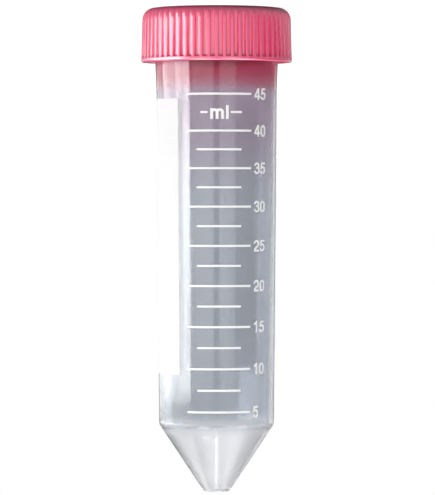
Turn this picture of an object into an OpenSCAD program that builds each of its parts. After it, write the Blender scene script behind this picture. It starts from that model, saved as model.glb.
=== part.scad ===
// 50 ml conical tube with its screw cap.
// The modules draw the closed tube upright, with the foot of the cone at z = 0 and the cap on top.
// stand_on_cap() then turns it over, because it can only stand on the flat top of its cap: the
// origin is the centre of that face, +Z runs towards the cone and the scale faces -Y.
// Lengths are in millimetres. Angles round the tube are degrees from the middle of the front,
// positive to the right of someone who reads the scale.

/* [Tube] */
// Length from the foot under the cone to the rim of the mouth
tube_len = 115; // [80:0.5:150]
// Outside diameter of the body at its top, below the collar
body_top_d = 29.15; // [25:0.05:36]
// Outside diameter of the body where it meets the cone
body_base_d = 27.8; // [23:0.05:34]
// Thickness of the body's wall at its top
wall_top = 1.03; // [0.8:0.01:1.6]
// Thickness of the body's wall where it meets the cone
wall_base = 1.63; // [0.8:0.01:2.2]
// Radius of the round between body and cone
shoulder_r = 2.2; // [0.5:0.1:4]

/* [Cone] */
// Half the angle of the cone, from its axis to its side
cone_half_angle = 33.5; // [28:0.5:42]
// Diameter of the flat end of the cone
tip_d = 7.2; // [6:0.1:10]
// Thickness of the cone's wall, square to its surface
cone_wall = 0.85; // [0.7:0.05:1.4]
// Thickness of the floor of the cone
floor_t = 1.3; // [0.8:0.1:3]
// Height of the foot ring under the cone
foot_h = 0.8; // [0.4:0.1:2]
// How far the foot ring lies inside the edge of the cone's flat end
foot_inset = 0.4; // [0.2:0.05:0.6]
// Width of the foot ring's wall
foot_wall = 0.9; // [0.5:0.1:1.2]
// Diameter of the gate mark inside the foot ring
gate_d = 1.6; // [0.8:0.1:2]

/* [Neck] */
// Length of the neck, from the rim down to the collar
neck_len = 9.6; // [7:0.1:14]
// Thickness of the neck's wall at the rim, under the thread
neck_wall = 0.9; // [0.6:0.05:1.4]
// Height that the thread stands out from the neck
thread_h = 1.05; // [0.6:0.05:1.5]
// Height of the low collar below the neck
collar_h = 8.4; // [3:0.1:12]
// How far the collar stands out from the body
collar_rise = 0.28; // [0.1:0.02:0.5]
// Chamfer on both edges of the rim
rim_chamfer = 0.3; // [0.1:0.05:0.3]

/* [Cap] */
// Height of the cap
cap_h = 13.1; // [10:0.1:18]
// Thickness of the skirt over its ribs, at the top
skirt_wall = 1.85; // [1.4:0.05:3]
// How far the skirt widens from its top to its bottom
skirt_draft = 0.35; // [0:0.05:0.5]
// Radius of the round between the cap's side and top
cap_round_r = 2.8; // [1:0.1:3.5]
// Thickness of the cap's top
cap_top_t = 1.8; // [1.2:0.1:2.5]
// Number of grip ribs
rib_count = 60; // [36:1:66]
// Width of the groove between two ribs
groove_w = 1.1; // [0.9:0.05:1.2]
// Depth of the grooves at the top of the skirt
groove_depth = 0.45; // [0.2:0.05:0.55]
// Height of the plain band under the ribs
band_h = 1.05; // [0.5:0.05:2]
// Wall of the plug ring that seals the bore
plug_wall = 1; // [0.6:0.1:1.5]
// Depth of the plug ring in the bore
plug_depth = 3.6; // [2:0.1:5]

/* [Fits] */
// Gap all round between the plug ring and the bore
plug_gap = 0.05; // [0.02:0.01:0.1]
// Gap between the rim and the inside of the cap's top
seat_gap = 0.2; // [0.1:0.05:0.5]
// Gap between the crest of the neck's thread and the skirt
thread_gap = 0.3; // [0.2:0.05:0.5]

/* [Scale] */
// Volume between two numbered lines, in millilitres
major_step_ml = 5; // [5:5:10]
// Height of a numbered line
major_line_h = 0.5; // [0.3:0.05:1]
// Height of a line between two numbers
minor_line_h = 0.5; // [0.3:0.05:1]
// Angle that a numbered line covers
major_arc = 64.5; // [40:0.5:70]
// Angle that a line between two numbers covers
minor_arc = 43.5; // [20:0.5:60]
// Angle from the front to the middle of the lines
scale_turn = 2.5; // [-3:0.5:10]
// Angle kept free for the unit between its two dashes
unit_gap_arc = 22; // [15:0.5:30]
// Angle of the dash to the left of the unit
unit_left_arc = 7; // [4:0.5:12]
// Angle of the dash to the right of the unit
unit_right_arc = 11; // [4:0.5:15]
// Bare height between the highest line and the collar
scale_top_gap = 0.1; // [0.1:0.1:2]
// Thickness of the print
print_t = 0.05; // [0.03:0.01:0.1]

/* [Writing panel] */
// Width of the panel round the tube, as an angle
panel_arc = 112.5; // [60:0.5:130]
// Angle from the front to the edge of the panel nearest to the scale
panel_edge = -39; // [-60:0.5:-38]
// Bare height between the panel and the collar
panel_top_gap = 2; // [0.5:0.5:20]
// Bare height between the panel and the cone
panel_base_gap = 12.4; // [2:0.1:30]

/* [Hidden] */
$fn = 96;

// Reach of a cutter past the face that it cuts
past = 1;
// Reach of a round past the two sides that it joins, so that it crosses them
round_past = 0.0005;
// Angle of the front in the modelling plane, whose angles start at +X
front = -90;

// Outside of the tube below the neck
cone_base_r = body_base_d / 2;
cone_top_z = foot_h + (cone_base_r - tip_d / 2) / tan(cone_half_angle);
neck_z = tube_len - neck_len;
collar_z = neck_z - collar_h;
body_slope = (body_top_d / 2 - cone_base_r) / (collar_z - cone_top_z);

// Bore of the tube
bore_floor_z = foot_h + floor_t;
bore_floor_r = tip_d / 2 - cone_wall / cos(cone_half_angle) + floor_t * tan(cone_half_angle);
bore_base_r = cone_base_r - wall_base;
bore_base_z = bore_floor_z + (bore_base_r - bore_floor_r) / tan(cone_half_angle);
bore_slope = (body_top_d / 2 - wall_top - bore_base_r) / (collar_z - bore_base_z);
bore_top_r = bore_r(tube_len);
bore_floor_round = 1.2;
bore_shoulder_round = 1.2;

// Neck and cap
neck_r = bore_top_r + neck_wall;
skirt_bore_r = neck_r + thread_h + thread_gap;
skirt_lead = 0.4;
skirt_lip_r = 0.35;
cap_top_r = skirt_bore_r + skirt_wall;
cap_base_r = cap_top_r + skirt_draft;
cap_ceiling_z = tube_len + seat_gap;
cap_top_z = cap_ceiling_z + cap_top_t;
cap_base_z = cap_top_z - cap_h;
groove_x = cap_top_r - groove_depth + groove_w / 2;
plug_end_z = tube_len - plug_depth;
plug_r = min(bore_r(plug_end_z), bore_top_r) - plug_gap;
plug_lead = 0.4;

// Scale: the highest numbered line is the last whole step that the straight body has room for
full_scale_ml = major_step_ml
    * floor(held_ml(collar_z - scale_top_gap - major_line_h / 2) / major_step_ml);
unit_ml = full_scale_ml - major_step_ml / 2;

// Outside radius of the body and radius of the bore at a height
function body_r(z) = cone_base_r + (z - cone_top_z) * body_slope;
function bore_r(z) = bore_base_r + (z - bore_base_z) * bore_slope;

// Volume of a cone frustum, in millilitres
function frustum_ml(r1, r2, h) = PI * h * (r1 * r1 + r1 * r2 + r2 * r2) / 3000;

// What the tube holds up to a height, without the small rounds of the bore
function held_ml(z) = z <= bore_base_z
    ? frustum_ml(bore_floor_r, bore_floor_r + (z - bore_floor_z) * tan(cone_half_angle), z - bore_floor_z)
    : held_ml(bore_base_z) + frustum_ml(bore_base_r, bore_r(z), z - bore_base_z);

// Height at which the tube holds a volume, found by halving the span that it lies in
function level_z(ml, low = bore_floor_z, high = tube_len, steps = 30) =
    let (middle = (low + high) / 2)
    steps == 0 ? middle
    : held_ml(middle) < ml ? level_z(ml, middle, high, steps - 1)
    : level_z(ml, low, middle, steps - 1);

// A corner at b between straight sides from a and to c, rounded by r:
// [end of the first side, centre of the round, start of the second side]
function unit(v) = v / norm(v);
function rounded_corner(a, b, c, r) =
    let (to_a = unit(a - b), to_c = unit(c - b), half = acos(to_a * to_c) / 2)
    [b + to_a * r / tan(half), b + unit(to_a + to_c) * r / sin(half), b + to_c * r / tan(half)];

// An outline whose convex corners have the given radii, 0 for a sharp one
module rounded_outline(points, radii) {
    count = len(points);
    corners = [for (i = [0 : count - 1])
        rounded_corner(points[(i + count - 1) % count], points[i], points[(i + 1) % count], radii[i])];
    polygon([for (i = [0 : count - 1]) each radii[i] > 0 ? [corners[i][0], corners[i][2]] : [points[i]]]);
    for (i = [0 : count - 1])
        if (radii[i] > 0)
            translate(corners[i][1]) circle(r = radii[i] + round_past);
}

// Turns the upright model over onto the top of its cap, with its front still at -Y
module stand_on_cap() {
    translate([0, 0, cap_top_z]) rotate([0, 180, 0]) children();
}

// A patch of print on the body, between two angles from the front and two heights
module print_patch(from_angle, to_angle, low_z, high_z) {
    rotate([0, 0, front + from_angle])
        rotate_extrude(angle = to_angle - from_angle)
            polygon([
                [body_r(low_z), low_z],
                [body_r(low_z) + print_t, low_z],
                [body_r(high_z) + print_t, high_z],
                [body_r(high_z), high_z]
            ]);
}

// Outside of the tube: foot, cone, body, collar and neck
module tube_outside() {
    rotate_extrude()
        rounded_outline([
            [0, foot_h],
            [tip_d / 2, foot_h],
            [cone_base_r, cone_top_z],
            [body_top_d / 2, collar_z],
            [body_r(neck_z) + collar_rise, neck_z],
            [neck_r, neck_z],
            [neck_r, tube_len - rim_chamfer],
            [neck_r - rim_chamfer, tube_len],
            [0, tube_len]
        ], [0, 0.5, shoulder_r, 0, 0, 0, 0, 0, 0]);
    rotate_extrude()
        translate([tip_d / 2 - foot_inset - foot_wall, 0]) square([foot_wall, foot_h + floor_t / 2]);
    translate([0, 0, foot_h / 2]) cylinder(d = gate_d, h = floor_t);
}

// Everything that the tube's wall leaves free
module tube_inside() {
    rotate_extrude()
        rounded_outline([
            [0, bore_floor_z],
            [bore_floor_r, bore_floor_z],
            [bore_base_r, bore_base_z],
            [bore_top_r, tube_len],
            [bore_top_r, tube_len + past],
            [0, tube_len + past]
        ], [0, bore_floor_round, bore_shoulder_round, 0, 0, 0]);
    translate([0, 0, tube_len - rim_chamfer])
        cylinder(r1 = bore_top_r, r2 = bore_top_r + rim_chamfer + past, h = rim_chamfer + past);
}

module tube() {
    color([0.80, 0.82, 0.85, 0.6])
        stand_on_cap()
            difference() {
                tube_outside();
                tube_inside();
            }
}

// Outside of the cap: tapered skirt, plain band and rounded top
module cap_outside() {
    rotate_extrude()
        rounded_outline([
            [0, cap_base_z],
            [cap_base_r, cap_base_z],
            [cap_top_r, cap_top_z],
            [0, cap_top_z]
        ], [0, skirt_lip_r, cap_round_r, 0]);
}

// Grooves between the grip ribs, which run up over the rounded top edge
module cap_grooves() {
    for (i = [0 : rib_count - 1])
        rotate([0, 0, front + (i + 0.5) * 360 / rib_count])
            translate([groove_x, 0, cap_base_z + band_h]) cylinder(d = groove_w, h = cap_h);
}

// Room inside the skirt for the neck, with a lead-in at its mouth
module cap_inside() {
    translate([0, 0, cap_base_z - past])
        cylinder(r = skirt_bore_r, h = cap_ceiling_z - cap_base_z + past);
    translate([0, 0, cap_base_z - past])
        cylinder(r1 = skirt_bore_r + skirt_lead + past, r2 = skirt_bore_r, h = skirt_lead + past);
}

// Ring inside the cap that fits the bore of the tube
module cap_plug() {
    rotate_extrude()
        polygon([
            [plug_r - plug_wall, plug_end_z],
            [plug_r - plug_lead, plug_end_z],
            [plug_r, plug_end_z + plug_lead],
            [plug_r, cap_ceiling_z + cap_top_t / 2],
            [plug_r - plug_wall, cap_ceiling_z + cap_top_t / 2]
        ]);
}

module screw_cap() {
    color([0.98, 0.45, 0.60])
        stand_on_cap() {
            difference() {
                cap_outside();
                cap_grooves();
                cap_inside();
            }
            cap_plug();
        }
}

// A printed line at a volume, over an arc centred on the scale
module volume_line(ml, arc, line_h) {
    z = level_z(ml);
    print_patch(scale_turn - arc / 2, scale_turn + arc / 2, z - line_h / 2, z + line_h / 2);
}

// The two dashes beside the unit
module unit_dashes() {
    low_z = level_z(unit_ml) - minor_line_h / 2;
    left_end = scale_turn - unit_gap_arc / 2;
    right_start = scale_turn + unit_gap_arc / 2;
    print_patch(left_end - unit_left_arc, left_end, low_z, low_z + minor_line_h);
    print_patch(right_start, right_start + unit_right_arc, low_z, low_z + minor_line_h);
}

module graduation_marks() {
    color("white")
        stand_on_cap() {
            for (ml = [major_step_ml : major_step_ml : full_scale_ml])
                volume_line(ml, major_arc, major_line_h);
            for (ml = [major_step_ml * 1.5 : major_step_ml : unit_ml - major_step_ml])
                volume_line(ml, minor_arc, minor_line_h);
            unit_dashes();
        }
}

module writing_panel() {
    color("white")
        stand_on_cap()
            print_patch(panel_edge - panel_arc, panel_edge,
                        cone_top_z + panel_base_gap, collar_z - panel_top_gap);
}

tube();
screw_cap();
graduation_marks();
writing_panel();
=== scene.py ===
"""Looks of a 50 ml conical tube and its ribbed screw cap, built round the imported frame.

The frame stands on the flat top of the cap. Every shape here is drawn upright, with the foot of
the cone at height 0, and Stance.settle turns it over into the frame. Lengths are in metres.
Angles round the tube are radians from the middle of its front, positive to the right of someone
who reads the scale.
"""

import logging
import math
from dataclasses import dataclass, field
from enum import Enum
from typing import Sequence

import bmesh
import bpy
from bmesh.types import BMesh, BMVert
from bpy.types import ID, Material, Node, NodeSocket, NodeTree, Object
from mathutils import Matrix, Quaternion, Vector


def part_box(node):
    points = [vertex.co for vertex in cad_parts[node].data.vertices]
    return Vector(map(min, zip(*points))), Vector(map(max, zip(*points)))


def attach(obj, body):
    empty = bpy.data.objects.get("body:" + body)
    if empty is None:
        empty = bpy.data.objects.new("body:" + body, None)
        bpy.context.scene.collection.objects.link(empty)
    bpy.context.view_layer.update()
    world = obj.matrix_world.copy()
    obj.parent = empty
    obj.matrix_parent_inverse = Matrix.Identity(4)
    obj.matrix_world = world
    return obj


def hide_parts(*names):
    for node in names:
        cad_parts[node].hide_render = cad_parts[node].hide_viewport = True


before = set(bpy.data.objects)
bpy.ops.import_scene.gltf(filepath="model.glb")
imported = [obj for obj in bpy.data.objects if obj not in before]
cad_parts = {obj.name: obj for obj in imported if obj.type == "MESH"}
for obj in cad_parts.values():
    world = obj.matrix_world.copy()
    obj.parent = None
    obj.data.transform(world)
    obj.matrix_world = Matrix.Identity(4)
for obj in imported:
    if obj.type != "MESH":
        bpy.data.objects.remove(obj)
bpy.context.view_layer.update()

MM = 0.001
FULL_TURN = 2 * math.pi
FRONT = -math.pi / 2
# A vertex this near to a wall's radius is on the wall, and points this near to each other are one.
ON_WALL = 0.01 * MM
ONE_PLACE = 1e-7
# Faces in a round, and how much of the stretch beside it a round may take.
ROUND_STEPS = 6
MOST_OF_RUN = 0.98
LOG = logging.getLogger("conical_tube")

Colour = tuple[float, float, float, float]


class Body(Enum):
    """The bodies of the frame that pieces ride on."""

    CAP = "cap"
    TUBE = "tube"


class Slot(Enum):
    """The material slots of the record."""

    POLYPROPYLENE = "clear_polypropylene"
    POLYETHYLENE = "pink_polyethylene"
    PRINT = "white_print"


def smooth(value: float) -> float:
    """Returns 0 to 1 for 0 to 1, with level ends."""
    t = max(0.0, min(1.0, value))
    return t * t * (3 - 2 * t)


def polar(point: Vector) -> tuple[float, float]:
    """Returns the distance from the axis and the angle from the front, from 0 to a full turn."""
    return math.hypot(point.x, point.y), (math.atan2(point.y, point.x) - FRONT) % FULL_TURN


def place(radius: float, angle: float, height: float) -> Vector:
    """Returns the point at a distance from the axis, an angle from the front and a height."""
    return Vector((radius * math.cos(FRONT + angle), radius * math.sin(FRONT + angle), height))


def round_corner(bm: BMesh, corner: Vector, radius: float) -> None:
    """Rounds one corner of a line, as far as the stretches beside it allow.

    Args:
        bm: The line.
        corner: The corner.
        radius: The radius of the round.
    """
    vert = min(bm.verts, key=lambda v: (v.co - corner).length_squared)
    first, second = ((e.other_vert(vert).co - vert.co) for e in vert.link_edges)
    run = radius / math.tan(first.angle(second) / 2)
    run = min(run, MOST_OF_RUN * first.length, MOST_OF_RUN * second.length)
    bmesh.ops.bevel(bm, geom=[vert], offset=run, offset_type="OFFSET", segments=ROUND_STEPS,
                    profile=0.5, affect="VERTICES", material=-1)


def put(name: str, data: ID) -> Object:
    """Puts a new object into the scene.

    Args:
        name: The object's name.
        data: Its mesh, lamp or camera.

    Returns:
        The object.
    """
    item = bpy.data.objects.new(name, data)
    bpy.context.scene.collection.objects.link(item)
    return item


@dataclass(frozen=True)
class Stance:
    """How the upright shapes stand in the frame."""

    total_height: float

    @classmethod
    def of_frame(cls) -> "Stance":
        """Reads the height of the closed tube from the frame."""
        return cls(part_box("tube")[1].z)

    def height(self, frame_z: float) -> float:
        """Returns the upright height of a height in the frame."""
        return self.total_height - frame_z

    def settle(self, bm: BMesh) -> None:
        """Turns an upright mesh over onto the top of the cap."""
        turned = Matrix.Translation((0, 0, self.total_height)) @ Matrix.Rotation(math.pi, 4, "Y")
        bmesh.ops.transform(bm, matrix=turned, verts=bm.verts)


@dataclass
class PieceMaker:
    """Turns finished meshes into pieces of the object."""

    SHARP_ANGLE = 0.6

    stance: Stance

    def make(self, name: str, bm: BMesh, finish: Material, body: Body,
             stands_for: Sequence[str] = ()) -> None:
        """Settles a mesh into the frame and puts it into the scene as a piece on its body.

        Args:
            name: The piece's name.
            bm: The upright mesh, which is used up.
            finish: The material of the whole piece.
            body: The body that the piece rides on.
            stands_for: The frame's nodes that the piece is shown in place of.
        """
        bmesh.ops.recalc_face_normals(bm, faces=bm.faces)
        self.stance.settle(bm)
        for face in bm.faces:
            face.smooth = True
        mesh = bpy.data.meshes.new(name)
        bm.to_mesh(mesh)
        bm.free()
        mesh.set_sharp_from_angle(angle=self.SHARP_ANGLE)
        mesh.materials.append(finish)
        piece = put(name, mesh)
        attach(piece, body.value)
        if stands_for:
            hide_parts(*stands_for)
        LOG.info("%s: %d faces", name, len(mesh.polygons))


@dataclass(frozen=True)
class Corner:
    """A corner of a turned outline, and how the stretch that leads to it is made."""

    radius: float
    height: float
    rounding: float = 0.0
    cuts: int = 0

    @property
    def point(self) -> Vector:
        """The corner in the plane that is turned."""
        return Vector((self.radius, 0, self.height))


@dataclass
class TurnedForm:
    """A solid of revolution, from an outline that starts and ends on the axis.

    A full turn has the given number of steps. One sector of it is spun and then repeated.
    """

    SECTORS = 12

    corners: Sequence[Corner]
    steps: int

    def build(self) -> BMesh:
        """Turns the outline.

        Returns:
            The mesh, upright and closed.
        """
        bm = bmesh.new()
        verts = [bm.verts.new(c.point) for c in self.corners]
        for pair in zip(verts, verts[1:]):
            bm.edges.new(pair)
        for corner in self.corners:
            if corner.rounding:
                round_corner(bm, corner.point, corner.rounding)
        for start, end in zip(self.corners, self.corners[1:]):
            if end.cuts:
                self._cut(bm, start, end)
        sector = FULL_TURN / self.SECTORS
        bmesh.ops.spin(bm, geom=bm.verts[:] + bm.edges[:], axis=(0, 0, 1), cent=(0, 0, 0),
                       angle=sector, steps=self.steps // self.SECTORS)
        bmesh.ops.spin(bm, geom=bm.verts[:] + bm.edges[:] + bm.faces[:], axis=(0, 0, 1), cent=(0, 0, 0),
                       angle=FULL_TURN - sector, steps=self.SECTORS - 1, use_duplicate=True)
        bmesh.ops.remove_doubles(bm, verts=bm.verts, dist=ONE_PLACE)
        return bm

    def _cut(self, bm: BMesh, start: Corner, end: Corner) -> None:
        """Divides what the rounds leave of the stretch between two corners.

        Args:
            bm: The outline.
            start: The corner that the stretch leaves.
            end: The corner that it leads to.
        """
        first, last = start.point, end.point
        along = (last - first).normalized()
        stretch = []
        for edge in bm.edges:
            middle = sum((v.co for v in edge.verts), Vector()) / 2 - first
            straight = all((v.co - first).cross(along).length < ONE_PLACE for v in edge.verts)
            if straight and 0 < middle.dot(along) < (last - first).length:
                stretch.append(edge)
        longest = max(stretch, key=lambda e: e.calc_length())
        bmesh.ops.subdivide_edges(bm, edges=[longest], cuts=end.cuts)


@dataclass(frozen=True)
class ScrewThread:
    """A right-handed thread on a round wall, given by how far it stands off the wall."""

    start_height: float
    turns: float
    depth: float = 1.05 * MM
    pitch: float = 3.5 * MM
    root_width: float = 2.1 * MM
    crest_width: float = 0.8 * MM
    run_out: float = 0.07

    def rise(self, angle: float, height: float) -> float:
        """Works out how far the thread stands off the wall at a point.

        Args:
            angle: The point's angle from the front.
            height: Its height.

        Returns:
            The distance from the wall.
        """
        travel = (height - self.start_height) / self.pitch - angle / FULL_TURN
        turn = angle / FULL_TURN + round(travel)
        to_end = min(turn, self.turns - turn) / self.run_out
        aside = abs(travel - round(travel)) * self.pitch
        flank = (self.root_width / 2 - aside) / ((self.root_width - self.crest_width) / 2)
        return self.depth * smooth(flank) * smooth(to_end)

    def form(self, bm: BMesh, wall: float, low: float, high: float, side: int) -> None:
        """Moves a round wall out or in to the thread.

        Args:
            bm: The upright mesh.
            wall: The wall's radius.
            low: Height above which the wall is moved.
            high: Height below which it is moved.
            side: 1 for a thread outside the wall and -1 for one inside a bore.
        """
        for vert in bm.verts:
            radius, angle = polar(vert.co)
            if abs(radius - wall) < ON_WALL and low < vert.co.z < high:
                vert.co = place(radius + side * self.rise(angle, vert.co.z), angle, vert.co.z)


@dataclass(frozen=True)
class TaperedWall:
    """The straight outside of the tube's body, which carries the print."""

    base_radius: float
    base_height: float
    top_radius: float
    top_height: float

    def radius(self, height: float) -> float:
        """Returns the wall's radius at a height."""
        share = (height - self.base_height) / (self.top_height - self.base_height)
        return self.base_radius + share * (self.top_radius - self.base_radius)

    @property
    def mean_radius(self) -> float:
        """The radius that turns a length of print into an angle."""
        return (self.base_radius + self.top_radius) / 2


@dataclass(frozen=True)
class TubeSizes:
    """Sizes of the moulded tube. Heights count from the foot under the cone."""

    length: float
    collar_radius: float
    body_top_radius: float = 14.575 * MM
    body_base_radius: float = 13.9 * MM
    wall_top: float = 1.03 * MM
    wall_base: float = 1.63 * MM
    shoulder_round: float = 2.2 * MM
    cone_half_angle: float = math.radians(33.5)
    tip_radius: float = 3.6 * MM
    cone_wall: float = 0.85 * MM
    floor: float = 1.3 * MM
    foot_height: float = 0.8 * MM
    foot_inset: float = 0.4 * MM
    foot_wall: float = 0.9 * MM
    foot_inner_round: float = 0.2 * MM
    foot_outer_round: float = 0.3 * MM
    foot_root_round: float = 0.25 * MM
    gate_radius: float = 0.8 * MM
    gate_end: float = 0.44 * MM
    neck_length: float = 9.6 * MM
    neck_wall: float = 0.9 * MM
    neck_root_round: float = 0.1 * MM
    collar_height: float = 8.4 * MM
    collar_round: float = 6 * MM
    rim_round: float = 0.3 * MM
    bore_shoulder_round: float = 1.6 * MM
    bore_floor_round: float = 1.2 * MM
    edge_round: float = 0.15 * MM

    @classmethod
    def of_frame(cls, stance: Stance) -> "TubeSizes":
        """Reads the length and the widest radius from the frame."""
        low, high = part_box("tube")
        return cls(length=stance.height(low.z), collar_radius=high.x)

    @property
    def cone_top(self) -> float:
        """Height at which the cone meets the body."""
        widening = self.body_base_radius - self.tip_radius
        return self.foot_height + widening / math.tan(self.cone_half_angle)

    @property
    def neck_base(self) -> float:
        """Height at which the neck starts above the collar."""
        return self.length - self.neck_length

    @property
    def collar_base(self) -> float:
        """Height at which the body widens into the collar."""
        return self.neck_base - self.collar_height

    @property
    def bore_floor(self) -> float:
        """Height of the bottom of the bore."""
        return self.foot_height + self.floor

    @property
    def bore_floor_radius(self) -> float:
        """Radius of the flat bottom of the bore."""
        return (self.tip_radius - self.cone_wall / math.cos(self.cone_half_angle)
                + self.floor * math.tan(self.cone_half_angle))

    @property
    def bore_base_radius(self) -> float:
        """Radius of the bore where its cone starts."""
        return self.body_base_radius - self.wall_base

    @property
    def bore_base(self) -> float:
        """Height at which the bore's cone starts."""
        widening = self.bore_base_radius - self.bore_floor_radius
        return self.bore_floor + widening / math.tan(self.cone_half_angle)

    def bore_radius(self, height: float) -> float:
        """Works out the bore's radius above its cone.

        Args:
            height: The height at which it is wanted.

        Returns:
            The radius.
        """
        widening = self.body_top_radius - self.wall_top - self.bore_base_radius
        slope = widening / (self.collar_base - self.bore_base)
        return self.bore_base_radius + (height - self.bore_base) * slope

    @property
    def neck_radius(self) -> float:
        """Radius of the neck at the root of its thread."""
        return self.bore_radius(self.length) + self.neck_wall

    @property
    def wall(self) -> TaperedWall:
        """The body's straight outside."""
        return TaperedWall(self.body_base_radius, self.cone_top, self.body_top_radius, self.collar_base)


@dataclass
class TubeMoulding:
    """The translucent tube, moulded in one piece with its neck, thread, cone and foot."""

    sizes: TubeSizes
    steps: int = 192
    neck_rows: int = 66
    collar_rows: int = 2
    body_rows: int = 8
    cone_rows: int = 3
    thread_turns: float = 1.6
    thread_start: float = 2.6 * MM

    def outline(self) -> list[Corner]:
        """Lists the corners from the gate mark, up the outside, over the rim and down the bore.

        Returns:
            The outline.
        """
        s = self.sizes
        ring_out = s.tip_radius - s.foot_inset
        ring_in = ring_out - s.foot_wall
        rim_in = s.bore_radius(s.length)
        return [
            Corner(0, s.gate_end),
            Corner(s.gate_radius, s.gate_end, s.edge_round),
            Corner(s.gate_radius, s.foot_height, s.edge_round),
            Corner(ring_in, s.foot_height, s.edge_round),
            Corner(ring_in, 0, s.foot_inner_round),
            Corner(ring_out, 0, s.foot_outer_round),
            Corner(ring_out, s.foot_height, s.edge_round),
            Corner(s.tip_radius, s.foot_height, s.foot_root_round),
            Corner(s.body_base_radius, s.cone_top, s.shoulder_round, self.cone_rows),
            Corner(s.body_top_radius, s.collar_base, s.collar_round, self.body_rows),
            Corner(s.collar_radius, s.neck_base, s.edge_round, self.collar_rows),
            Corner(s.neck_radius, s.neck_base, s.neck_root_round),
            Corner(s.neck_radius, s.length, s.rim_round, self.neck_rows),
            Corner(rim_in, s.length, s.rim_round),
            Corner(s.bore_base_radius, s.bore_base, s.bore_shoulder_round, self.body_rows),
            Corner(s.bore_floor_radius, s.bore_floor, s.bore_floor_round, self.cone_rows),
            Corner(0, s.bore_floor),
        ]

    def build(self, maker: PieceMaker, finish: Material) -> None:
        """Makes the tube.

        Args:
            maker: What makes the piece.
            finish: The tube's material.
        """
        s = self.sizes
        bm = TurnedForm(self.outline(), self.steps).build()
        thread = ScrewThread(start_height=s.neck_base + self.thread_start, turns=self.thread_turns)
        thread.form(bm, s.neck_radius, s.neck_base, s.length - s.rim_round, 1)
        maker.make("tube_moulding", bm, finish, Body.TUBE, ["tube"])


@dataclass(frozen=True)
class CapSizes:
    """Sizes of the screw cap. Heights count from the foot of the closed tube."""

    base: float
    top: float
    base_radius: float
    plug_radius: float
    plug_end: float
    ceiling: float
    bore_radius: float
    draft: float = 0.35 * MM
    top_round: float = 2.8 * MM
    band: float = 1.05 * MM
    rib_count: int = 60
    groove_depth: float = 0.5 * MM
    groove_share: float = 0.5
    groove_flank: float = 0.16
    groove_run_out: float = 0.3 * MM
    lip_round: float = 0.35 * MM
    mouth_round: float = 0.1 * MM
    mouth_lead: float = 0.4 * MM
    ceiling_round: float = 0.5 * MM
    plug_wall: float = 1.0 * MM
    plug_lead: float = 0.4 * MM
    plug_root_round: float = 0.3 * MM
    plug_inner_root_round: float = 0.4 * MM
    plug_lead_round: float = 0.2 * MM
    plug_end_round: float = 0.15 * MM

    PLUG_GAP = 0.05 * MM
    PLUG_DEPTH = 3.6 * MM
    SEAT_GAP = 0.2 * MM
    THREAD_ROOM = 1.35 * MM

    @classmethod
    def of_frame(cls, stance: Stance, tube: TubeSizes) -> "CapSizes":
        """Reads the cap's outside from the frame and ties its inside to the tube.

        Args:
            stance: How the upright cap stands in the frame.
            tube: The tube that the cap closes.

        Returns:
            The cap's sizes.
        """
        low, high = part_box("screw_cap")
        plug_end = tube.length - cls.PLUG_DEPTH
        return cls(
            base=stance.height(high.z),
            top=stance.height(low.z),
            base_radius=high.x,
            plug_radius=tube.bore_radius(plug_end) - cls.PLUG_GAP,
            plug_end=plug_end,
            ceiling=tube.length + cls.SEAT_GAP,
            bore_radius=tube.neck_radius + cls.THREAD_ROOM,
        )

    @property
    def top_radius(self) -> float:
        """Radius over the ribs where the side meets the top."""
        return self.base_radius - self.draft

    @property
    def groove_radius(self) -> float:
        """Radius of the floor of the grooves."""
        return self.top_radius - self.groove_depth


@dataclass
class ScrewCap:
    """The pink cap, moulded in one piece with its ribs, thread and plug ring."""

    sizes: CapSizes
    steps_per_rib: int = 10
    top_rows: int = 1
    skirt_rows: int = 40
    thread_rows: int = 44
    thread_turns: float = 1.4
    thread_start: float = 2.2 * MM

    def outline(self) -> list[Corner]:
        """Lists the corners from the middle of the top, down the skirt and back inside.

        Returns:
            The outline.
        """
        s = self.sizes
        plug_inside = s.plug_radius - s.plug_wall
        return [
            Corner(0, s.top),
            Corner(s.top_radius, s.top, s.top_round, self.top_rows),
            Corner(s.base_radius, s.base, s.lip_round, self.skirt_rows),
            Corner(s.bore_radius + s.mouth_lead, s.base, s.mouth_round),
            Corner(s.bore_radius, s.base + s.mouth_lead),
            Corner(s.bore_radius, s.ceiling, s.ceiling_round, self.thread_rows),
            Corner(s.plug_radius, s.ceiling, s.plug_root_round),
            Corner(s.plug_radius, s.plug_end + s.plug_lead, s.plug_lead_round),
            Corner(s.plug_radius - s.plug_lead, s.plug_end, s.plug_end_round),
            Corner(plug_inside, s.plug_end, s.plug_lead_round),
            Corner(plug_inside, s.ceiling, s.plug_inner_root_round),
            Corner(0, s.ceiling),
        ]

    def build(self, maker: PieceMaker, finish: Material) -> None:
        """Makes the cap.

        Args:
            maker: What makes the piece.
            finish: The cap's material.
        """
        s = self.sizes
        bm = TurnedForm(self.outline(), s.rib_count * self.steps_per_rib).build()
        self._cut_grooves(bm)
        thread = ScrewThread(start_height=s.base + self.thread_start, turns=self.thread_turns)
        thread.form(bm, s.bore_radius, s.base, s.ceiling, -1)
        maker.make("ribbed_screw_cap", bm, finish, Body.CAP, ["screw_cap"])

    def _cut_grooves(self, bm: BMesh) -> None:
        """Moves the skirt's outside in where the grooves run, above the plain band.

        Args:
            bm: The upright cap.
        """
        s = self.sizes
        band_end = s.base + s.band
        for vert in bm.verts:
            radius, angle = polar(vert.co)
            if radius > s.groove_radius and vert.co.z > band_end - s.groove_run_out / 2:
                aside = abs((angle * s.rib_count / FULL_TURN) % 1.0 - 0.5)
                across = smooth((s.groove_share / 2 + s.groove_flank / 2 - aside) / s.groove_flank)
                along = smooth((vert.co.z - band_end) / s.groove_run_out + 0.5)
                deep = across * along
                vert.co = place(radius - deep * (radius - s.groove_radius), angle, vert.co.z)


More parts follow.
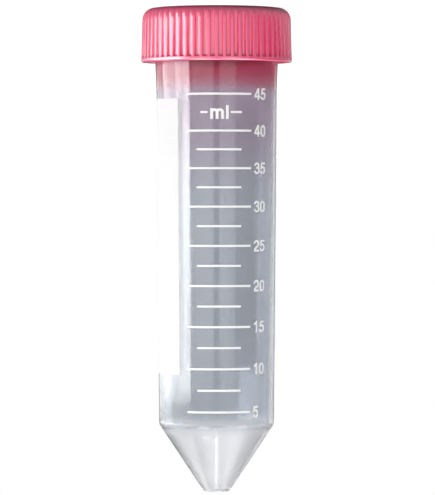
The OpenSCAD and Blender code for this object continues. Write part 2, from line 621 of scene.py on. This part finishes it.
@dataclass(frozen=True)
class Stroke:
    """One pull of the pen.

    Each point has its place across and up and the radius of its bend, as shares of the letter's
    height.
    """

    points: tuple[tuple[float, float, float], ...]
    closed: bool = False


LETTERS: dict[str, tuple[Stroke, ...]] = {
    "0": (
        Stroke(((0.085, 0.085, 0.216), (0.525, 0.085, 0.216), (0.525, 0.915, 0.216),
                (0.085, 0.915, 0.216)), closed=True),
    ),
    "1": (
        Stroke(((0.36, 0.0, 0), (0.36, 1.0, 0))),
        Stroke(((0.08, 0.74, 0), (0.24, 0.76, 0.1), (0.36, 0.95, 0))),
    ),
    "2": (
        Stroke(((0.085, 0.67, 0), (0.085, 0.915, 0.21), (0.525, 0.915, 0.21), (0.525, 0.56, 0.2),
                (0.13, 0.22, 0.1), (0.11, 0.06, 0))),
        Stroke(((0.03, 0.085, 0), (0.6, 0.085, 0))),
    ),
    "3": (
        Stroke(((0.085, 0.7, 0), (0.085, 0.915, 0.19), (0.505, 0.915, 0.19), (0.505, 0.54, 0.17),
                (0.22, 0.54, 0))),
        Stroke(((0.26, 0.54, 0), (0.53, 0.54, 0.2), (0.53, 0.085, 0.21), (0.075, 0.085, 0.21),
                (0.075, 0.3, 0))),
    ),
    "4": (
        Stroke(((0.43, 0.0, 0), (0.43, 1.0, 0))),
        Stroke(((0.4, 0.96, 0), (0.06, 0.32, 0))),
        Stroke(((0.0, 0.28, 0), (0.62, 0.28, 0))),
    ),
    "5": (
        Stroke(((0.12, 0.915, 0), (0.57, 0.915, 0))),
        Stroke(((0.17, 0.93, 0), (0.11, 0.45, 0))),
        Stroke(((0.12, 0.5, 0), (0.2, 0.61, 0.08), (0.525, 0.61, 0.2), (0.525, 0.085, 0.22),
                (0.08, 0.085, 0.2), (0.08, 0.28, 0))),
    ),
    "m": (
        Stroke(((0.105, 0.0, 0), (0.105, 0.77, 0))),
        Stroke(((0.105, 0.4, 0), (0.105, 0.665, 0.17), (0.49, 0.665, 0.17), (0.49, 0.0, 0))),
        Stroke(((0.49, 0.4, 0), (0.49, 0.665, 0.17), (0.875, 0.665, 0.17), (0.875, 0.0, 0))),
    ),
    "l": (
        Stroke(((0.105, 0.0, 0), (0.105, 1.0, 0))),
    ),
}


@dataclass
class WallPrint:
    """Ink on the wall, laid out flat by length round the wall and by height, and then wrapped.

    The ink starts a BED's depth inside the wall and stands off it by its own thickness, INK.
    Each further stroke of a letter is a LAYER thicker, so that no two faces coincide.
    """

    CUT = 0.35 * MM
    INK = 0.05 * MM
    BED = 0.03 * MM
    LAYER = 0.004 * MM
    BAR_STEPS = 3

    wall: TaperedWall
    bm: BMesh = field(default_factory=bmesh.new)

    def across(self, angle: float) -> float:
        """Returns the length round the wall of an angle from the front."""
        return angle * self.wall.mean_radius

    def bar(self, left: float, right: float, low: float, high: float, rounding: float) -> None:
        """Adds a bar with rounded corners.

        Args:
            left: Angle of its left end.
            right: Angle of its right end.
            low: Height of its lower edge.
            high: Height of its upper edge.
            rounding: Radius of its corners.
        """
        ends = self.across(left), self.across(right)
        corners = [(ends[0], low), (ends[1], low), (ends[1], high), (ends[0], high)]
        verts = [self.bm.verts.new((x, y, 0)) for x, y in corners]
        face = self.bm.faces.new(verts)
        raised = bmesh.ops.extrude_face_region(self.bm, geom=[face], use_keep_orig=True)["geom"]
        tops = [v for v in raised if isinstance(v, BMVert)]
        bmesh.ops.translate(self.bm, vec=(0, 0, self.BED + self.INK), verts=tops)
        upright = [e for v in verts for e in v.link_edges if e.other_vert(v) in tops]
        bmesh.ops.bevel(self.bm, geom=upright, offset=rounding, offset_type="OFFSET",
                        segments=self.BAR_STEPS, profile=0.5, affect="EDGES", material=-1)

    def word(self, text: str, left: float, base: float, height: float, advances: Sequence[float],
             weight: float) -> None:
        """Adds a word.

        Args:
            text: The word.
            left: Angle of its left end.
            base: Height of its foot.
            height: Height of its tallest letter.
            advances: How far each letter moves on, as a share of the height.
            weight: Width of the strokes, as a share of the height.
        """
        pen = self.across(left)
        for letter, advance in zip(text, advances):
            for layer, stroke in enumerate(LETTERS[letter]):
                depth = self.BED + self.INK + layer * self.LAYER
                self._stroke(stroke, pen, base, height, weight, depth)
            pen += advance * height

    def _stroke(self, stroke: Stroke, pen: float, base: float, height: float, weight: float,
                depth: float) -> None:
        """Adds one stroke as a solid band of ink.

        Args:
            stroke: The stroke.
            pen: Where its letter starts, as a length round the wall.
            base: Height of the letter's foot.
            height: Height of the letter.
            weight: Width of the stroke, as a share of the height.
            depth: Thickness of the band.
        """
        band = bmesh.new()
        verts = [band.verts.new((x, y, 0)) for x, y, _ in stroke.points]
        for pair in zip(verts, verts[1:]):
            band.edges.new(pair)
        if stroke.closed:
            band.edges.new((verts[-1], verts[0]))
        for x, y, bend in stroke.points:
            if bend:
                round_corner(band, Vector((x, y, 0)), bend)
        standing = bmesh.ops.extrude_edge_only(band, edges=band.edges[:])["geom"]
        tops = [v for v in standing if isinstance(v, BMVert)]
        bmesh.ops.translate(band, vec=(0, 0, 1), verts=tops)
        bmesh.ops.recalc_face_normals(band, faces=band.faces)
        side = bmesh.ops.solidify(band, geom=band.faces[:], thickness=-weight / 2)["geom"]
        spare = set(band.faces) - set(side)
        bmesh.ops.delete(band, geom=list(spare), context="FACES")
        bmesh.ops.solidify(band, geom=band.faces[:], thickness=-weight)
        sized = Matrix.Translation((pen, base, 0)) @ Matrix.Diagonal((height, height, depth, 1))
        bmesh.ops.transform(band, matrix=sized, verts=band.verts)
        carrier = bpy.data.meshes.new("stroke")
        band.to_mesh(carrier)
        band.free()
        self.bm.from_mesh(carrier)
        bpy.data.meshes.remove(carrier)

    def wrapped(self) -> BMesh:
        """Bends the ink round the wall and beds it in.

        Returns:
            The upright mesh.
        """
        places = [v.co.x for v in self.bm.verts]
        left, right = min(places), max(places)
        steps = math.ceil((right - left) / self.CUT)
        for step in range(1, steps):
            cut = left + (right - left) * step / steps
            geom = self.bm.verts[:] + self.bm.edges[:] + self.bm.faces[:]
            bmesh.ops.bisect_plane(self.bm, geom=geom, dist=ONE_PLACE, plane_co=(cut, 0, 0),
                                   plane_no=(1, 0, 0))
        for vert in self.bm.verts:
            across, height, depth = vert.co
            radius = self.wall.radius(height) - self.BED + depth
            vert.co = place(radius, across / self.wall.mean_radius, height)
        return self.bm


@dataclass
class VolumeScale:
    """The printed volume lines, their numbers and the unit."""

    wall: TaperedWall
    stance: Stance
    number_start: float = math.radians(38.6)
    number_height: float = 2.8 * MM
    number_advance: float = 0.7
    unit_start: float = math.radians(-6)
    unit_height: float = 3.3 * MM
    unit_advances: tuple[float, float] = (1.11, 0.2)
    number_weight: float = 0.165
    unit_weight: float = 0.2
    line_corner: float = 0.08 * MM
    step_ml: int = 5
    numbered_share: float = 0.98
    dash_share: float = 0.3
    weld: float = 0.001 * MM

    def solids(self) -> list[tuple[float, float, float, float]]:
        """Finds the volume lines in the frame.

        Returns:
            Each line's left and right angle and its lower and upper height, the lowest first.
        """
        bm = bmesh.new()
        bm.from_mesh(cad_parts["graduation_marks"].data)
        bmesh.ops.remove_doubles(bm, verts=bm.verts, dist=self.weld)
        found = []
        left = set(bm.verts)
        while left:
            island = self._island(left.pop())
            left -= island
            angles = [math.atan2(-v.co.x, -v.co.y) for v in island]
            heights = [self.stance.height(v.co.z) for v in island]
            found.append((min(angles), max(angles), min(heights), max(heights)))
        bm.free()
        return sorted(found, key=lambda line: (line[2], line[0]))

    @staticmethod
    def _island(start: BMVert) -> set[BMVert]:
        """Follows the edges from one vertex.

        Args:
            start: The vertex.

        Returns:
            All the vertices that are joined to it.
        """
        island, edge = {start}, [start]
        while edge:
            vert = edge.pop()
            for link in vert.link_edges:
                other = link.other_vert(vert)
                if other not in island:
                    island.add(other)
                    edge.append(other)
        return island

    def build(self, maker: PieceMaker, finish: Material) -> None:
        """Makes the lines and the lettering.

        Args:
            maker: What makes the pieces.
            finish: The ink.
        """
        lines = WallPrint(self.wall)
        numbers = WallPrint(self.wall)
        volume = 0
        dashes = []
        solids = self.solids()
        widest = max(right - left for left, right, _, _ in solids)
        for left, right, low, high in solids:
            lines.bar(left, right, low, high, self.line_corner)
            middle = (low + high) / 2
            if right - left > self.numbered_share * widest:
                volume += self.step_ml
                text = str(volume)
                foot = middle - self.number_height / 2
                numbers.word(text, self.number_start, foot, self.number_height,
                             [self.number_advance] * len(text), self.number_weight)
            elif right - left < self.dash_share * widest:
                dashes.append(middle)
        numbers.word("ml", self.unit_start, dashes[0] - self.unit_height / 2, self.unit_height,
                     self.unit_advances, self.unit_weight)
        maker.make("volume_lines", lines.wrapped(), finish, Body.TUBE, ["graduation_marks"])
        maker.make("volume_numbers", numbers.wrapped(), finish, Body.TUBE)


@dataclass
class WritingPanel:
    """The plain white field that is written on."""

    wall: TaperedWall
    stance: Stance
    near_edge: float = math.radians(-39)
    arc: float = math.radians(112.5)
    corner: float = 0.35 * MM

    def build(self, maker: PieceMaker, finish: Material) -> None:
        """Makes the panel.

        Args:
            maker: What makes the piece.
            finish: The ink.
        """
        low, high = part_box("writing_panel")
        ink = WallPrint(self.wall)
        ink.bar(self.near_edge - self.arc, self.near_edge, self.stance.height(high.z),
                self.stance.height(low.z), self.corner)
        maker.make("writing_field", ink.wrapped(), finish, Body.TUBE, ["writing_panel"])


class Nodes:
    """Adds nodes to a tree and joins them. A source is a plain value, or the socket that gives it."""

    def __init__(self, tree: NodeTree) -> None:
        """Keeps the tree and empties it."""
        self.tree = tree
        tree.nodes.clear()

    def add(self, kind: str, inputs: dict[str | int, object] | None = None, **values: object) -> Node:
        """Adds a node.

        Args:
            kind: The node's type.
            inputs: The source of each input, by the input's name or place.
            **values: The node's properties.

        Returns:
            The node.
        """
        node = self.tree.nodes.new(kind)
        for key, value in values.items():
            setattr(node, key, value)
        for key, source in (inputs or {}).items():
            self.feed(node.inputs[key], source)
        return node

    def feed(self, socket: NodeSocket, source: object) -> None:
        """Gives an input its source.

        Args:
            socket: The input.
            source: Its source.
        """
        if isinstance(source, NodeSocket):
            self.tree.links.new(source, socket)
        else:
            socket.default_value = source

    def here(self) -> NodeSocket:
        """Returns the socket with the place of the point in the frame."""
        return self.add("ShaderNodeTexCoord").outputs["Object"]

    def reckon(self, operation: str, *terms: object) -> NodeSocket:
        """Returns the socket with the result of a sum on sources."""
        return self.add("ShaderNodeMath", dict(enumerate(terms)), operation=operation).outputs["Value"]

    def ramp(self, value: object, start: float, end: float, low: object = 0.0, high: object = 1.0,
             kind: str = "LINEAR") -> NodeSocket:
        """Returns the socket with a run from low to high, as a value goes from start to end."""
        inputs = {"Value": value, "From Min": start, "From Max": end, "To Min": low, "To Max": high}
        return self.add("ShaderNodeMapRange", inputs, interpolation_type=kind).outputs["Result"]

    def band(self, start: float, end: float) -> NodeSocket:
        """Returns the socket with a mask that goes from 0 to 1 as the height goes from start to end."""
        height = self.add("ShaderNodeSeparateXYZ", {"Vector": self.here()}).outputs["Z"]
        return self.ramp(height, start, end, kind="SMOOTHSTEP")

    def blend(self, share: object, first: object, second: object) -> NodeSocket:
        """Adds a mix of two colours.

        Args:
            share: The source of the second colour's share.
            first: The source of the first colour.
            second: The source of the second colour.

        Returns:
            The socket with the mixed colour.
        """
        mix = self.add("ShaderNodeMix", data_type="RGBA")
        sockets = {socket.identifier: socket for socket in (*mix.inputs, *mix.outputs)}
        self.feed(sockets["Factor_Float"], share)
        self.feed(sockets["A_Color"], first)
        self.feed(sockets["B_Color"], second)
        return sockets["Result_Color"]


class Shading(Nodes):
    """The nodes of a new material."""

    def __init__(self, name: str) -> None:
        """Makes the material.

        Args:
            name: The material's name.
        """
        self.material = bpy.data.materials.new(name)
        self.material.use_nodes = True
        super().__init__(self.material.node_tree)

    def surface(self, shader: NodeSocket) -> None:
        """Makes a shader the surface of the material."""
        self.add("ShaderNodeOutputMaterial", {"Surface": shader})

    def principled(self, **sources: object) -> None:
        """Makes the surface a principled shader, whose inputs are named with underscores for spaces."""
        inputs = {key.replace("_", " "): source for key, source in sources.items()}
        self.surface(self.add("ShaderNodeBsdfPrincipled", inputs).outputs["BSDF"])


@dataclass(frozen=True)
class Streaks:
    """A finish's streaks: how fine, how far drawn out, and their least and most roughness."""

    scale: float
    along: float
    low: float
    high: float


class Effects:
    """Effects that more than one finish uses."""

    NOISE_SPAN = (0.3, 0.7)
    NOISE_DETAIL = 3

    def __init__(self) -> None:
        """Builds each effect once."""
        self.group = self._flow_streaks()

    def streaks(self, look: Shading, streaks: Streaks) -> NodeSocket:
        """Places the streaks in a material.

        Args:
            look: The material.
            streaks: The streaks of this finish.

        Returns:
            The socket with the roughness.
        """
        inputs = {"Scale": streaks.scale, "Along": streaks.along, "Low": streaks.low,
                  "High": streaks.high}
        return look.add("ShaderNodeGroup", inputs, node_tree=self.group).outputs["Value"]

    def _flow_streaks(self) -> NodeTree:
        """Makes streaks that run along the axis, as plastic flows into its mould.

        Returns:
            The node group.
        """
        tree = bpy.data.node_groups.new("flow_streaks", "ShaderNodeTree")
        for key in ("Scale", "Along", "Low", "High"):
            tree.interface.new_socket(key, in_out="INPUT", socket_type="NodeSocketFloat")
        tree.interface.new_socket("Value", in_out="OUTPUT", socket_type="NodeSocketFloat")
        group = Nodes(tree)
        enter = group.add("NodeGroupInput").outputs
        shape = group.add("ShaderNodeCombineXYZ", {"X": 1, "Y": 1, "Z": enter["Along"]})
        drawn = group.add("ShaderNodeVectorMath", {0: group.here(), 1: shape.outputs["Vector"]},
                          operation="MULTIPLY")
        noise = group.add("ShaderNodeTexNoise", {
            "Vector": drawn.outputs["Vector"],
            "Scale": enter["Scale"],
            "Detail": self.NOISE_DETAIL,
        })
        spread = group.ramp(noise.outputs["Fac"], *self.NOISE_SPAN, enter["Low"], enter["High"])
        group.add("NodeGroupOutput", {"Value": spread})
        return tree


@dataclass(frozen=True)
class FrostedPolypropylene:
    """Natural polypropylene, clear enough to see through and hazy enough to soften it.

    The cap's pink light and shade are painted into the wall's colour: a faint painted pink shade
    over a long way, and strong painted pink light on its outside from the cap's lip on, in full
    where the cap leaves no more than open_share of what lies in reach open. The cone comes from a
    blasted part of the mould and is rougher than the body, and its colour is painted paler as
    painted light for what its slanted wall catches from above. Heights are in the frame, where the
    cap is at the bottom.
    """

    colour: Colour = (0.70, 0.73, 0.78, 1.0)
    # Painted light: the cone's colour is painted paler, for the light its slanted wall catches from
    # above.
    cone_colour: Colour = (0.97, 0.98, 1.0, 1.0)
    # Painted shade: the wall is painted darker and pinker towards the cap, over a long way.
    far_tint: Colour = (0.65, 0.57, 0.66, 1.0)
    # Painted light: the cap's pink glow and shade, painted into the wall right beside the cap.
    near_tint: Colour = (0.74, 0.03, 0.07, 1.0)
    clear: float = 0.93
    ior: float = 1.49
    specular: float = 0.27
    coat_roughness: float = 0.1
    coat_ior: float = 1.45
    streaks: Streaks = Streaks(900.0, 0.03, 0.09, 0.19)
    frost: float = 0.26
    far_start: float = 50 * MM
    far_end: float = 20 * MM
    near_start: float = 21.5 * MM
    near_end: float = 18.5 * MM
    lip_start: float = 12.6 * MM
    lip_end: float = 13 * MM
    milky_start: float = 97 * MM
    milky_end: float = 102.5 * MM
    frost_start: float = 99.8 * MM
    frost_end: float = 102.2 * MM
    gloss_end: float = 103.5 * MM
    reach: float = 14 * MM
    rays: int = 16
    open_share: float = 0.93
    bore_radius: float = 13.9 * MM
    outside_radius: float = 14.1 * MM

    def build(self, effects: Effects) -> Material:
        """Makes the tube's material.

        Args:
            effects: The shared effects.

        Returns:
            The material.
        """
        look = Shading("frosted_polypropylene")
        frosted = look.band(self.frost_start, self.frost_end)
        # Painted light: paler towards the cone.
        paler_cone = look.band(self.milky_start, self.milky_end)
        body = look.blend(paler_cone, self.colour, self.cone_colour)
        # Painted shade: darker and pinker towards the cap.
        far = look.blend(look.band(self.far_start, self.far_end), body, self.far_tint)
        streaked = effects.streaks(look, self.streaks)
        # Painted light: the cap's pink glow is painted into the base colour beside the cap.
        look.principled(
            Base_Color=look.blend(self._beside_cap(look), far, self.near_tint),
            Roughness=look.reckon("MULTIPLY_ADD", frosted, self.frost, streaked),
            IOR=self.ior,
            Transmission_Weight=self.clear,
            Specular_IOR_Level=self.specular,
            Coat_Weight=look.band(self.frost_end, self.gloss_end),
            Coat_Roughness=self.coat_roughness,
            Coat_IOR=self.coat_ior,
        )
        return look.material

    def _beside_cap(self, look: Shading) -> NodeSocket:
        """Adds the mask of the painted pink light and shade beside the cap, which is 0 once the cap is
        off.

        Args:
            look: The material.

        Returns:
            The socket with the mask.
        """
        # Painted light and shade: the less open the wall's surroundings are with the cap on, the more
        # of the cap's pink is painted in.
        sky = look.add("ShaderNodeAmbientOcclusion", {"Distance": self.reach}, samples=self.rays)
        within = look.add("ShaderNodeNewGeometry").outputs["Backfacing"]
        masks = (look.band(self.near_start, self.near_end), look.reckon("SUBTRACT", 1, within),
                 look.band(self.lip_start, self.lip_end), self._outside(look))
        share = look.ramp(sky.outputs["AO"], 1.0, self.open_share)
        for mask in masks:
            share = look.reckon("MULTIPLY", share, mask)
        return share

    def _outside(self, look: Shading) -> NodeSocket:
        """Adds the mask that is 1 on the outside of the wall near the cap and 0 on its bore.

        Args:
            look: The material.

        Returns:
            The socket with the mask.
        """
        flat = look.add("ShaderNodeVectorMath", {0: look.here(), 1: (1, 1, 0)}, operation="MULTIPLY")
        radius = look.add("ShaderNodeVectorMath", {0: flat.outputs["Vector"]}, operation="LENGTH")
        return look.ramp(radius.outputs["Value"], self.bore_radius, self.outside_radius)


@dataclass(frozen=True)
class PinkPolyethylene:
    """Dyed polyethylene with a waxy shine, through which light bleeds a little."""

    colour: Colour = (0.98, 0.04, 0.2, 1.0)
    ior: float = 1.51
    bleed: float = 0.15
    bleed_colour: tuple[float, float, float] = (1.0, 0.35, 0.4)
    bleed_depth: float = 0.8 * MM
    shine: float = 1.0
    shine_roughness: float = 0.27
    shine_ior: float = 3.0
    streaks: Streaks = Streaks(700.0, 0.5, 0.34, 0.46)

    def build(self, effects: Effects) -> Material:
        """Makes the cap's material.

        Args:
            effects: The shared effects.

        Returns:
            The material.
        """
        look = Shading("pink_polyethylene")
        look.principled(
            Base_Color=self.colour,
            Roughness=effects.streaks(look, self.streaks),
            IOR=self.ior,
            Subsurface_Weight=self.bleed,
            Subsurface_Radius=self.bleed_colour,
            Subsurface_Scale=self.bleed_depth,
            Coat_Weight=self.shine,
            Coat_Roughness=self.shine_roughness,
            Coat_IOR=self.shine_ior,
        )
        return look.material


@dataclass(frozen=True)
class ScreenInk:
    """White printing ink, grainy in all directions. A thin coat lets light soak through."""

    name: str
    soak: float
    colour: Colour = (0.92, 0.92, 0.92, 1.0)
    soak_colour: tuple[float, float, float] = (1.0, 1.0, 1.0)
    soak_depth: float = 0.3 * MM
    grain: Streaks = Streaks(3000.0, 1.0, 0.45, 0.65)

    def build(self, effects: Effects) -> Material:
        """Makes the print's material.

        Args:
            effects: The shared effects.

        Returns:
            The material.
        """
        look = Shading(self.name)
        look.principled(
            Base_Color=self.colour,
            Roughness=effects.streaks(look, self.grain),
            Subsurface_Weight=self.soak,
            Subsurface_Radius=self.soak_colour,
            Subsurface_Scale=self.soak_depth,
        )
        return look.material


@dataclass(frozen=True)
class Lamp:
    """A soft lamp that faces the middle of the object.

    Its angle is in degrees round the object from the camera's side, positive to the left of the
    camera's picture, and its rise in degrees above the middle. Its size is in metres and its
    power in watts.
    """

    name: str
    angle: float
    rise: float
    size: tuple[float, float]
    power: float

    def build(self, middle: Vector, distance: float) -> None:
        """Makes the lamp.

        Args:
            middle: The middle of the object.
            distance: How far from there the lamp is.
        """
        data = bpy.data.lights.new(self.name, "AREA")
        data.shape = "RECTANGLE"
        data.size, data.size_y = self.size
        data.energy = self.power
        lamp = put(self.name, data)
        turn, lift = math.radians(self.angle), math.radians(self.rise)
        level = math.cos(lift)
        way = Vector((math.sin(turn) * level, -math.cos(turn) * level, math.sin(lift)))
        lamp.location = middle + way * distance
        lamp.rotation_mode = "QUATERNION"
        lamp.rotation_quaternion = (-way).to_track_quat("-Z", "Y")
        lamp.visible_camera = False


LAMPS = (
    Lamp("left_front", 68, 0, (0.54, 0.24), 5.1),
    Lamp("left_side", 102, 0, (0.73, 0.24), 4.5),
    Lamp("left_back", 142, 0, (0.73, 0.24), 0.95),
    Lamp("high_left", 105, 45, (0.5, 0.5), 1.2),
    Lamp("right_back", -152, 0, (0.34, 1.0), 0.96),
    Lamp("high_back", 180, 45, (0.9, 0.5), 2.6),
    Lamp("right_side", -52, 0, (0.34, 1.0), 0.05),
    Lamp("front_left", 27, 0, (0.77, 0.24), 1.15),
    Lamp("front_right", -21, 0, (0.56, 0.24), 0.75),
    Lamp("top_front_left", 30, 50, (0.35, 0.6), 4.9),
    Lamp("top_front_right", -42, 47, (0.8, 0.6), 6.6),
    Lamp("top_right", -70, 50, (0.6, 0.6), 1.4),
    Lamp("top_strip", 0, 64, (0.06, 0.5), 0.9),
    Lamp("overhead", 0, 88, (0.8, 0.8), 0.3),
)


@dataclass
class Studio:
    """The floor, the lamps, the surroundings and the camera.

    The floor and the surroundings are white to the eye. Gloss and clear plastic show the
    gloss_share and the clear_share of that white, and what they light stays at a plain level.
    """

    stance: Stance
    distance: float = 0.85
    eye_height: float = 72.9 * MM
    aim_height: float = 59.1 * MM
    aim_aside: float = 0.23 * MM
    view_height: float = 119.98 * MM
    sensor: float = 36.0
    lamp_distance: float = 1.0
    plain_light: float = 0.06
    gloss_share: float = 0.04
    clear_share: float = 0.54
    floor_colour: float = 0.25
    floor_near: float = 0.88
    floor_sweep: float = 0.6
    floor_radius: float = 4.0
    floor_sides: int = 64

    def build(self) -> None:
        """Makes everything round the object."""
        self._camera()
        self._floor()
        middle = Vector((0, 0, self.stance.total_height / 2))
        for lamp in LAMPS:
            lamp.build(middle, self.lamp_distance)
        self._surroundings()

    def _camera(self) -> None:
        """Makes the camera, turned over with the object so that the cap is at the picture's top."""
        data = bpy.data.cameras.new("camera")
        camera = put("camera", data)
        aside = -self.aim_aside
        eye = Vector((aside, -self.distance, self.stance.height(self.eye_height)))
        aim = Vector((aside, 0, self.stance.height(self.aim_height)))
        look = aim - eye
        camera.location = eye
        camera.rotation_mode = "QUATERNION"
        camera.rotation_quaternion = look.to_track_quat("-Z", "Y") @ Quaternion((0, 0, 1), math.pi)
        data.sensor_width = self.sensor
        data.lens = self.sensor * look.length / self.view_height
        data.clip_start = 0.01
        data.clip_end = 20
        bpy.context.scene.camera = camera

    def _shown(self, nodes: Nodes) -> NodeSocket:
        """Adds the share of their white that the floor and the surroundings show.

        Args:
            nodes: The nodes of the floor or of the surroundings.

        Returns:
            The socket with the share.
        """
        ray = nodes.add("ShaderNodeLightPath").outputs
        gloss = nodes.reckon("MULTIPLY", ray["Is Glossy Ray"], self.gloss_share)
        clear = nodes.reckon("MULTIPLY", ray["Is Transmission Ray"], self.clear_share)
        return nodes.reckon("MAXIMUM", nodes.reckon("MAXIMUM", ray["Is Camera Ray"], gloss), clear)

    def _floor(self) -> None:
        """Makes the pale floor, white to the eye and shaded where the object keeps light off it."""
        bm = bmesh.new()
        bmesh.ops.create_circle(bm, cap_ends=True, radius=self.floor_radius, segments=self.floor_sides)
        mesh = bpy.data.meshes.new("floor")
        bm.to_mesh(mesh)
        bm.free()
        put("floor", mesh)
        look = Shading("floor")
        matt = look.add("ShaderNodeBsdfDiffuse", {"Color": (*[self.floor_colour] * 3, 1)})
        away = look.add("ShaderNodeVectorMath", {0: look.here()}, operation="LENGTH")
        white = look.ramp(away.outputs["Value"], 0, self.floor_sweep, self.floor_near,
                          kind="SMOOTHSTEP")
        strength = look.reckon("MULTIPLY", self._shown(look), white)
        glow = look.add("ShaderNodeEmission", {"Strength": strength})
        both = look.add("ShaderNodeAddShader", {0: matt.outputs["BSDF"], 1: glow.outputs["Emission"]})
        look.surface(both.outputs["Shader"])
        mesh.materials.append(look.material)

    def _surroundings(self) -> None:
        """Makes the surroundings: white where they are seen, and a plain grey light otherwise."""
        world = bpy.data.worlds.new("surroundings")
        world.use_nodes = True
        bpy.context.scene.world = world
        nodes = Nodes(world.node_tree)
        light = nodes.add("ShaderNodeBackground", {"Color": (1, 1, 1, 1), "Strength": self.plain_light})
        white = nodes.add("ShaderNodeBackground", {"Color": (1, 1, 1, 1), "Strength": 1.0})
        mix = nodes.add("ShaderNodeMixShader", {
            "Fac": self._shown(nodes),
            1: light.outputs["Background"],
            2: white.outputs["Background"],
        })
        nodes.add("ShaderNodeOutputWorld", {"Surface": mix.outputs["Shader"]})


def main() -> None:
    """Builds the object and its studio."""
    logging.basicConfig(level=logging.INFO, format="%(message)s")
    bpy.context.scene.view_settings.view_transform = "Standard"
    stance = Stance.of_frame()
    Studio(stance).build()
    effects = Effects()
    maker = PieceMaker(stance)
    tube = TubeSizes.of_frame(stance)
    line_ink = ScreenInk("line_ink", soak=0.0).build(effects)
    panel_ink = ScreenInk("panel_ink", soak=0.8).build(effects)
    TubeMoulding(tube).build(maker, FrostedPolypropylene().build(effects))
    ScrewCap(CapSizes.of_frame(stance, tube)).build(maker, PinkPolyethylene().build(effects))
    VolumeScale(tube.wall, stance).build(maker, line_ink)
    WritingPanel(tube.wall, stance).build(maker, panel_ink)


if __name__ == "__main__":
    main()
